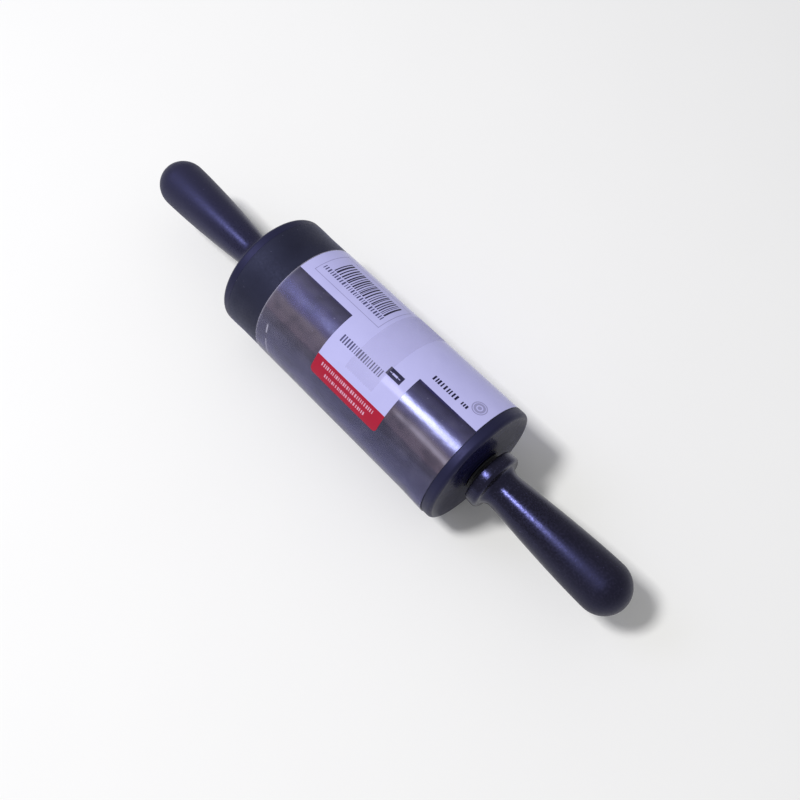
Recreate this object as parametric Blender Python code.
# A small silicone rolling pin, as separate pieces at their real size.
#
# The pin lies along X on the plane z = 0, with its middle over the origin.
# A steel rod runs through the roller and is pressed into both handles.
# The roller turns on the rod: a flanged bush sits in the hub of each end cap,
# the caps plug into a rigid core tube, and the silicone sleeve covers the tube.
# A clear printed film is wrapped round the sleeve, as the pin is sold.

import math

import bmesh
import bpy
from mathutils import Matrix

MM = 0.001

# Roller
ROLLER_LENGTH = 104.0 * MM
SLEEVE_DIAMETER = 44.6 * MM
SLEEVE_WALL = 3.0 * MM
SLEEVE_EDGE_RADIUS = 0.3 * MM
CORE_WALL = 1.6 * MM

# End caps
CAP_DIAMETER = 45.0 * MM
CAP_RIM_LENGTH = 4.0 * MM
CAP_EDGE_RADIUS = 1.5 * MM
CAP_DOME = 0.4 * MM
CAP_FACE_WALL = 2.2 * MM
SKIRT_LENGTH = 10.0 * MM
SKIRT_WALL = 1.6 * MM
SKIRT_LEAD = 0.8 * MM
HUB_LENGTH = 12.0 * MM
HUB_WALL = 2.2 * MM
BOSS_HEIGHT = 0.4 * MM
RIB_COUNT = 6
RIB_WALL = 1.4 * MM
RIB_LENGTH = 8.0 * MM

# Rod, bushes and washers
ROD_DIAMETER = 6.0 * MM
ROD_CHAMFER = 0.6 * MM
ROD_REACH_IN_HANDLE = 34.0 * MM
BUSH_WALL = 1.7 * MM
BUSH_LENGTH = 10.0 * MM
BUSH_FLANGE_DIAMETER = 14.0 * MM
BUSH_FLANGE_WALL = 0.7 * MM
WASHER_DIAMETER = 15.0 * MM
WASHER_WALL = 0.6 * MM

# Handles
HANDLE_LENGTH = 57.9 * MM
COLLAR_DIAMETER = 20.5 * MM
COLLAR_LENGTH = 4.6 * MM
COLLAR_BACK_RADIUS = 0.5 * MM
COLLAR_FRONT_RADIUS = 1.4 * MM
WAIST_DIAMETER = 13.0 * MM
COVE_LENGTH = 3.2 * MM
BULB_DIAMETER = 18.0 * MM
TAPER_POWER = 1.6
BORE_EXTRA_DEPTH = 1.5 * MM
BORE_CHAMFER = 0.6 * MM

# Film wrap, which starts at the sleeve's end on the right
FILM_WALL = 0.12 * MM
FILM_LENGTH = 81.3 * MM

# Clearances between pieces that seat on each other
SEAT_GAP = 0.3 * MM
FILM_GAP = 0.08 * MM

# Flat sides round the turned pieces, and steps along their curves
ROLLER_SIDES = 64
HANDLE_SIDES = 48
SMALL_SIDES = 32
FILLET_STEPS = 3
DOME_STEPS = 3
COVE_STEPS = 5
TAPER_STEPS = 7
BULB_STEPS = 7

# Places along the pin, from its middle
HALF_ROLLER = ROLLER_LENGTH / 2
SLEEVE_END = HALF_ROLLER - CAP_RIM_LENGTH - SEAT_GAP
CORE_END = HALF_ROLLER - CAP_FACE_WALL - SEAT_GAP
BUSH_SEAT = HALF_ROLLER + BOSS_HEIGHT + SEAT_GAP
WASHER_SEAT = BUSH_SEAT + BUSH_FLANGE_WALL + SEAT_GAP
HANDLE_SEAT = WASHER_SEAT + WASHER_WALL + SEAT_GAP
ROD_END = HANDLE_SEAT + ROD_REACH_IN_HANDLE

# Radii, each from the piece it fits
SLEEVE_RADIUS = SLEEVE_DIAMETER / 2
SLEEVE_BORE = SLEEVE_RADIUS - SLEEVE_WALL
CORE_RADIUS = SLEEVE_BORE - SEAT_GAP
CORE_BORE = CORE_RADIUS - CORE_WALL
SKIRT_RADIUS = CORE_BORE - SEAT_GAP
SKIRT_BORE = SKIRT_RADIUS - SKIRT_WALL
ROD_CLEAR_RADIUS = ROD_DIAMETER / 2 + SEAT_GAP
BUSH_RADIUS = ROD_CLEAR_RADIUS + BUSH_WALL
HUB_BORE = BUSH_RADIUS + SEAT_GAP
HUB_RADIUS = HUB_BORE + HUB_WALL
FILM_BORE = SLEEVE_RADIUS + FILM_GAP
FILM_RADIUS = FILM_BORE + FILM_WALL

# The widest turned piece lies with one of its flat sides on the plane z = 0
AXIS_HEIGHT = max(CAP_DIAMETER / 2, FILM_RADIUS) * math.cos(math.pi / ROLLER_SIDES)


def clear_scene():
    for obj in list(bpy.data.objects):
        bpy.data.objects.remove(obj, do_unlink=True)


def material(name, rgb, roughness, metallic=0.0, alpha=1.0):
    mat = bpy.data.materials.new(name)
    mat.use_nodes = True
    shader = mat.node_tree.nodes["Principled BSDF"]
    shader.inputs["Base Color"].default_value = (*rgb, 1.0)
    shader.inputs["Roughness"].default_value = roughness
    shader.inputs["Metallic"].default_value = metallic
    shader.inputs["Alpha"].default_value = alpha
    return mat


def arc(centre, radii, start, end, steps):
    """Points (x, r) on an ellipse, from one angle to the other in degrees, 0 along +x and 90 along +r."""
    points = []
    for i in range(steps + 1):
        angle = math.radians(start + (end - start) * i / steps)
        points.append((centre[0] + radii[0] * math.cos(angle), centre[1] + radii[1] * math.sin(angle)))
    return points


def lathe(name, profile, sides, closed):
    """A mesh turned round X from points (x, r). A closed profile makes a ring, an open one ends on the axis."""
    bm = bmesh.new()
    verts = [bm.verts.new((x, 0.0, -r)) for x, r in profile]
    pairs = list(zip(verts, verts[1:]))
    if closed:
        pairs.append((verts[-1], verts[0]))
    edges = [bm.edges.new(pair) for pair in pairs]
    # half a side of turn puts a flat side at the bottom
    bmesh.ops.rotate(bm, cent=(0, 0, 0), matrix=Matrix.Rotation(math.pi / sides, 3, "X"), verts=verts)
    bmesh.ops.spin(
        bm,
        geom=verts + edges,
        cent=(0, 0, 0),
        axis=(1, 0, 0),
        angle=2 * math.pi,
        steps=sides,
        use_merge=True,
    )
    bmesh.ops.remove_doubles(bm, verts=bm.verts, dist=1e-7)
    bmesh.ops.recalc_face_normals(bm, faces=bm.faces)
    mesh = bpy.data.meshes.new(name)
    bm.to_mesh(mesh)
    bm.free()
    mesh.shade_smooth()
    mesh.set_sharp_from_angle(angle=math.radians(35))
    return mesh


def place(name, mesh, mat, parent, x=0.0, left=False):
    """An object on the pin's axis. A left piece is the right one turned half round about Z."""
    obj = bpy.data.objects.new(name, mesh)
    if not mesh.materials:
        mesh.materials.append(mat)
    bpy.context.scene.collection.objects.link(obj)
    obj.parent = parent
    obj.location = (-x if left else x, 0.0, 0.0)
    obj.rotation_euler = (0.0, 0.0, math.pi if left else 0.0)
    return obj


def pair(stem, mesh, mat, parent, x):
    """The same piece at both ends of the pin."""
    return [place(f"{stem}_right", mesh, mat, parent, x), place(f"{stem}_left", mesh, mat, parent, x, left=True)]


def axis_empty(name):
    empty = bpy.data.objects.new(name, None)
    bpy.context.scene.collection.objects.link(empty)
    empty.location = (0.0, 0.0, AXIS_HEIGHT)
    return empty


def tube_profile(x0, x1, bore, radius):
    return [(x0, bore), (x0, radius), (x1, radius), (x1, bore)]


def sleeve_mesh():
    """Thick silicone tube with its outer edges rounded."""
    edge = min(SLEEVE_EDGE_RADIUS, SLEEVE_WALL / 2)
    profile = [(-SLEEVE_END, SLEEVE_BORE)]
    profile += arc((-SLEEVE_END + edge, SLEEVE_RADIUS - edge), (edge, edge), 180, 90, FILLET_STEPS)
    profile += arc((SLEEVE_END - edge, SLEEVE_RADIUS - edge), (edge, edge), 90, 0, FILLET_STEPS)
    profile += [(SLEEVE_END, SLEEVE_BORE)]
    return lathe("silicone_sleeve", profile, ROLLER_SIDES, closed=True)


def cap_mesh():
    """Moulded cap with x = 0 at its outer face: low dome with a rounded rim, slot for the tube, skirt and hub."""
    rim = CAP_DIAMETER / 2
    dome_width = rim - CAP_EDGE_RADIUS - HUB_RADIUS
    dome_slope = math.degrees(math.atan(2 * CAP_DOME / dome_width))
    skirt_end = -CAP_FACE_WALL - SKIRT_LENGTH
    profile = [(BOSS_HEIGHT, HUB_BORE), (BOSS_HEIGHT, HUB_RADIUS), (0.0, HUB_RADIUS)]
    for i in range(1, DOME_STEPS):
        u = i / DOME_STEPS
        profile.append((-CAP_DOME * u * u, HUB_RADIUS + dome_width * u))
    edge = (CAP_EDGE_RADIUS, CAP_EDGE_RADIUS)
    profile += arc((-CAP_DOME - edge[0], rim - edge[1]), edge, dome_slope, 90, FILLET_STEPS)
    profile += [(-CAP_RIM_LENGTH, rim), (-CAP_RIM_LENGTH, SLEEVE_BORE)]
    profile += [(-CAP_FACE_WALL, SLEEVE_BORE), (-CAP_FACE_WALL, SKIRT_RADIUS)]
    profile += [(skirt_end + SKIRT_LEAD, SKIRT_RADIUS), (skirt_end, SKIRT_RADIUS - SKIRT_LEAD)]
    profile += [(skirt_end, SKIRT_BORE), (-CAP_FACE_WALL, SKIRT_BORE)]
    profile += [(-CAP_FACE_WALL, HUB_RADIUS), (-HUB_LENGTH, HUB_RADIUS), (-HUB_LENGTH, HUB_BORE)]
    return lathe("end_cap", profile, ROLLER_SIDES, closed=True)


def rib_mesh():
    """The ribs between hub and skirt, each sunk a little into both and into the face wall."""
    sink = 0.5 * min(HUB_WALL, SKIRT_WALL, CAP_FACE_WALL)
    inner = HUB_RADIUS - sink
    outer = SKIRT_BORE + sink
    x0 = -CAP_FACE_WALL - RIB_LENGTH
    x1 = -CAP_FACE_WALL + sink
    bm = bmesh.new()
    for i in range(RIB_COUNT):
        turn = Matrix.Rotation(2 * math.pi * i / RIB_COUNT, 4, "X")
        shift = Matrix.Translation(((x0 + x1) / 2, 0.0, (inner + outer) / 2))
        size = Matrix.Diagonal((x1 - x0, RIB_WALL, outer - inner, 1.0))
        bmesh.ops.create_cube(bm, size=1.0, matrix=turn @ shift @ size)
    mesh = bpy.data.meshes.new("cap_ribs")
    bm.to_mesh(mesh)
    bm.free()
    return mesh


def add_ribs(cap, ribs):
    """Join the ribs to a cap. The helper that carries them isn't part of the model."""
    helper = bpy.data.objects.new(f"{cap.name}_ribs", ribs)
    bpy.context.scene.collection.objects.link(helper)
    helper.parent = cap
    helper.hide_render = True
    helper.display_type = "WIRE"
    union = cap.modifiers.new("Ribs", "BOOLEAN")
    union.operation = "UNION"
    union.object = helper


def bush_mesh():
    """Flanged bush with x = 0 where its flange meets the boss of the cap."""
    flange = BUSH_FLANGE_DIAMETER / 2
    profile = [(-BUSH_LENGTH, ROD_CLEAR_RADIUS), (-BUSH_LENGTH, BUSH_RADIUS), (0.0, BUSH_RADIUS)]
    profile += [(0.0, flange), (BUSH_FLANGE_WALL, flange), (BUSH_FLANGE_WALL, ROD_CLEAR_RADIUS)]
    return lathe("bearing_bush", profile, SMALL_SIDES, closed=True)


def rod_mesh():
    radius = ROD_DIAMETER / 2
    profile = [(-ROD_END, 0.0), (-ROD_END, radius - ROD_CHAMFER), (-ROD_END + ROD_CHAMFER, radius)]
    profile += [(ROD_END - ROD_CHAMFER, radius), (ROD_END, radius - ROD_CHAMFER), (ROD_END, 0.0)]
    return lathe("axle_rod", profile, SMALL_SIDES, closed=False)


def handle_mesh():
    """Moulded handle with x = 0 at the back of its collar: bore, collar, cove, taper and round end."""
    collar = COLLAR_DIAMETER / 2
    waist = WAIST_DIAMETER / 2
    bulb = BULB_DIAMETER / 2
    bore_end = ROD_REACH_IN_HANDLE + BORE_EXTRA_DEPTH
    cove_top = collar - COLLAR_FRONT_RADIUS
    waist_x = COLLAR_LENGTH + COVE_LENGTH
    bulb_x = HANDLE_LENGTH - bulb

    profile = [(bore_end, 0.0), (bore_end, ROD_CLEAR_RADIUS)]
    profile += [(BORE_CHAMFER, ROD_CLEAR_RADIUS), (0.0, ROD_CLEAR_RADIUS + BORE_CHAMFER)]
    back = COLLAR_BACK_RADIUS
    front = COLLAR_FRONT_RADIUS
    profile += arc((back, collar - back), (back, back), 180, 90, FILLET_STEPS)
    profile += arc((COLLAR_LENGTH - front, cove_top), (front, front), 90, 0, FILLET_STEPS)
    # the cove is a quarter of an ellipse that ends along the waist
    profile += arc((waist_x, cove_top), (COVE_LENGTH, cove_top - waist), 180, 270, COVE_STEPS)[1:]
    for i in range(1, TAPER_STEPS):
        u = i / TAPER_STEPS
        profile.append((waist_x + (bulb_x - waist_x) * u, waist + (bulb - waist) * (1 - (1 - u) ** TAPER_POWER)))
    profile += arc((bulb_x, 0.0), (bulb, bulb), 90, 0, BULB_STEPS)[:-1]
    profile.append((HANDLE_LENGTH, 0.0))
    return lathe("handle", profile, HANDLE_SIDES, closed=False)


def build():
    clear_scene()
    moulded = material("black_moulded_plastic", (0.016, 0.015, 0.022), 0.32)
    silicone = material("black_silicone", (0.020, 0.019, 0.028), 0.5)
    core = material("white_core_plastic", (0.62, 0.62, 0.6), 0.45)
    acetal = material("black_acetal", (0.017, 0.017, 0.02), 0.35)
    nylon = material("black_nylon", (0.02, 0.02, 0.024), 0.45)
    steel = material("drawn_steel", (0.52, 0.52, 0.54), 0.3, metallic=1.0)
    clear = material("clear_film", (0.86, 0.86, 0.9), 0.08, alpha=0.3)

    handle_axis = axis_empty("handle_axis")
    roller_axis = axis_empty("roller_axis")

    place("axle_rod", rod_mesh(), steel, handle_axis)
    pair("handle", handle_mesh(), moulded, handle_axis, HANDLE_SEAT)
    washer = lathe(
        "thrust_washer",
        tube_profile(0.0, WASHER_WALL, ROD_CLEAR_RADIUS, WASHER_DIAMETER / 2),
        SMALL_SIDES,
        closed=True,
    )
    pair("thrust_washer", washer, nylon, handle_axis, WASHER_SEAT)

    tube = lathe("core_tube", tube_profile(-CORE_END, CORE_END, CORE_BORE, CORE_RADIUS), ROLLER_SIDES, closed=True)
    place("core_tube", tube, core, roller_axis)
    place("silicone_sleeve", sleeve_mesh(), silicone, roller_axis)
    ribs = rib_mesh()
    for cap in pair("end_cap", cap_mesh(), moulded, roller_axis, HALF_ROLLER):
        add_ribs(cap, ribs)
    pair("bearing_bush", bush_mesh(), acetal, roller_axis, BUSH_SEAT)
    film = lathe(
        "film_wrap",
        tube_profile(SLEEVE_END - FILM_LENGTH, SLEEVE_END, FILM_BORE, FILM_RADIUS),
        ROLLER_SIDES,
        closed=True,
    )
    place("film_wrap", film, clear, roller_axis)


build()
